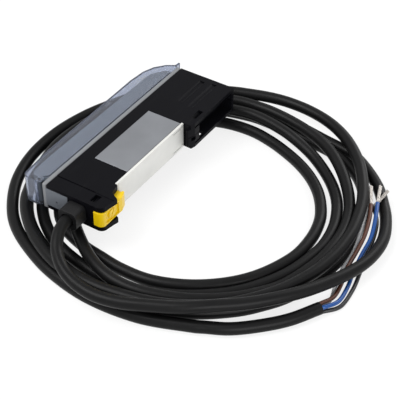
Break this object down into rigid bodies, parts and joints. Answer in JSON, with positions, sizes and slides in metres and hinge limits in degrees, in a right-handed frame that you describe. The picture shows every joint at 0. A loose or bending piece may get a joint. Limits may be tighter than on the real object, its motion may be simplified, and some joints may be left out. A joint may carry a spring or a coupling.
{
  "type": "fibre optic sensor amplifier",
  "caption": "Slim black fibre optic sensor amplifier with a clear hinged cover and yellow rail latch, lying on its coiled black cable with bare tinned cores.",
  "frame": {"origin": "on the flat bright face that rests on the mounting rail, midway along the rail's width and midway through the thickness", "axes": "+X along the housing from the cable end to the fibre end, +Y from the rail to the clear cover, +Z through the thickness, up out of the coil that it lies on"},
  "size_m": [0.1098, 0.1135, 0.0167],
  "materials": {
    "black_plastic": "fine satin moulded",
    "grey_plastic": "satin moulded",
    "clear_plastic": "clear gloss moulded",
    "yellow_plastic": "satin gloss",
    "pale_metal": "dull satin",
    "label_foil": "printed foil, bare",
    "spring_steel": "bright drawn",
    "tinned_copper": "bright tinned strands",
    "cable_jacket": "smooth satin",
    "brown_core": "smooth",
    "white_core": "smooth",
    "blue_core": "smooth",
    "black_core": "smooth",
    "dark_window": "dark tinted gloss",
    "board_green": "solder resist",
    "chip_black": "moulded",
    "key_grey": "satin moulded",
    "lamp_clear": "translucent",
    "metal_can": "satin metal"
  },
  "bodies": {
    "housing": {"housing_front": "black_plastic", "housing_back": "black_plastic", "rail_seat": "pale_metal", "side_label": "label_foil", "top_bezel": "grey_plastic", "latch_spring": "spring_steel", "cable_boot": "black_plastic", "cable_lead": "cable_jacket", "cable_coil": "cable_jacket", "cable_tail": "cable_jacket", "core_brown": "brown_core", "core_white": "white_core", "core_blue": "blue_core", "core_black": "black_core", "tip_brown": "tinned_copper", "tip_white": "tinned_copper", "tip_blue": "tinned_copper", "tip_black": "tinned_copper", "display_window": "dark_window", "display_module": "chip_black", "display_board": "board_green", "main_board": "board_green", "processor_chip": "chip_black", "output_transistor": "chip_black", "supply_capacitor": "metal_can", "core_terminal": "key_grey", "emitter_led": "lamp_clear", "receiver_diode": "chip_black", "fibre_block": "black_plastic", "upper_port_bush": "grey_plastic", "lower_port_bush": "grey_plastic", "set_switch": "metal_can", "up_switch": "metal_can", "down_switch": "metal_can", "mode_switch_body": "metal_can", "light_pipe": "lamp_clear", "output_led": "key_grey"},
    "cover": {"clear_cover": "clear_plastic"},
    "latch": {"rail_latch": "yellow_plastic"},
    "set_button": {"set_key": "key_grey"},
    "up_button": {"up_key": "key_grey"},
    "down_button": {"down_key": "key_grey"},
    "mode_slide": {"mode_slider": "key_grey"},
    "lock_slide": {"fibre_lock": "yellow_plastic", "clamp_plate": "spring_steel"}
  },
  "joints": [
    {"name": "cover_hinge", "type": "hinge", "parent": "housing", "child": "cover", "pos_m": [-0.0276, 0.021, 0], "axis": [0, 0, 1], "range_deg": [0, 95]},
    {"name": "rail_latch_slide", "type": "slide", "parent": "housing", "child": "latch", "axis": [-1, 0, 0], "range_m": [0, 0.0026], "stiffness_N_per_m": 1500, "springref_m": -0.001, "deforming": ["latch_spring"]},
    {"name": "set_key_press", "type": "slide", "parent": "housing", "child": "set_button", "axis": [0, -1, 0], "range_m": [0, 0.0004], "stiffness_N_per_m": 1200, "springref_m": -0.0002},
    {"name": "up_key_press", "type": "slide", "parent": "housing", "child": "up_button", "axis": [0, -1, 0], "range_m": [0, 0.0004], "stiffness_N_per_m": 1200, "springref_m": -0.0002},
    {"name": "down_key_press", "type": "slide", "parent": "housing", "child": "down_button", "axis": [0, -1, 0], "range_m": [0, 0.0004], "stiffness_N_per_m": 1200, "springref_m": -0.0002},
    {"name": "mode_switch_slide", "type": "slide", "parent": "housing", "child": "mode_slide", "axis": [1, 0, 0], "range_m": [0, 0.0022]},
    {"name": "fibre_lock_slide", "type": "slide", "parent": "housing", "child": "lock_slide", "axis": [-1, 0, 0], "range_m": [0, 0.0024]}
  ]
}
